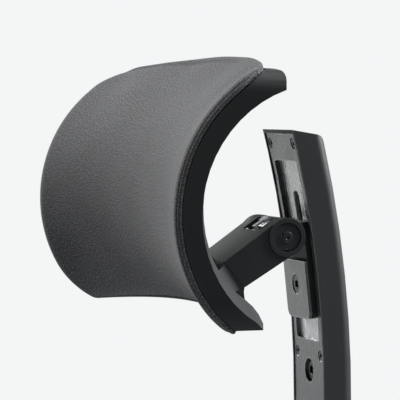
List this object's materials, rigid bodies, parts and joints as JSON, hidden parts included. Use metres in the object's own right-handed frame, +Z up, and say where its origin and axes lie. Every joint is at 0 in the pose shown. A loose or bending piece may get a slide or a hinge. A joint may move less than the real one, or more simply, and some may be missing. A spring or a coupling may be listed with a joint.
{
  "type": "chair headrest attachment",
  "caption": "Bowed padded headrest on a dipping arm with a friction hinge, carried by a slider that clamps in the slot of a curved upright post.",
  "frame": {"origin": "on the post's flat rear face, midway between its two mounting bolts", "axes": "+X sideways along the hinge axis, +Y backwards out of the post's rear face, +Z up the post"},
  "size_m": [0.3, 0.1626, 0.277],
  "materials": {
    "black_plastic": "satin",
    "shell_plastic": "fine texture",
    "grey_plate": "satin",
    "dark_rail": "satin",
    "steel": "brushed",
    "black_steel": "black",
    "nylon": "smooth",
    "board_plastic": "plain",
    "fabric": "woven"
  },
  "bodies": {
    "post": {"post_cover": "black_plastic", "post_front_plate": "grey_plate", "rail_bar": "dark_rail", "guide_strip_left": "dark_rail", "guide_strip_right": "dark_rail", "plate_screw_upper_left": "black_steel", "plate_screw_upper_right": "black_steel", "plate_screw_lower_left": "black_steel", "plate_screw_lower_right": "black_steel", "rail_screw_upper": "black_steel", "rail_screw_lower": "black_steel", "mount_bolt_upper": "black_steel", "mount_bolt_lower": "black_steel", "mount_bush_upper": "steel", "mount_bush_lower": "steel"},
    "slider": {"slider_block": "black_plastic", "slider_front_plate": "grey_plate", "slider_glide_pad": "nylon", "slider_clamp_screw": "black_steel", "slider_clamp_plate": "steel", "hinge_shaft": "steel", "hinge_screw_left": "black_steel", "hinge_screw_right": "black_steel"},
    "headrest": {"arm_housing": "black_plastic", "hinge_ring_left": "black_plastic", "hinge_ring_right": "black_plastic", "core_screw_1": "black_steel", "core_screw_2": "black_steel", "board_screw_1": "black_steel", "board_screw_2": "black_steel", "board_screw_3": "black_steel", "board_screw_4": "black_steel", "neck_screw_1": "black_steel", "neck_screw_2": "black_steel", "neck_screw_3": "black_steel", "neck_screw_4": "black_steel", "arm_core": "steel", "friction_clip_1": "steel", "friction_clip_2": "steel", "friction_clip_3": "steel", "hinge_washer_left": "nylon", "hinge_washer_right": "nylon", "rear_shell": "shell_plastic", "cushion_board": "board_plastic", "cushion": "fabric"}
  },
  "joints": [
    {"name": "height_slide", "type": "hinge", "parent": "post", "child": "slider", "pos_m": [0, -0.721, 0.012], "axis": [1, 0, 0], "range_deg": [-1.1, 3.1]},
    {"name": "arm_tilt", "type": "hinge", "parent": "slider", "child": "headrest", "pos_m": [0, -0.0463, 0.1178], "axis": [1, 0, 0], "range_deg": [-30, 25]}
  ]
}
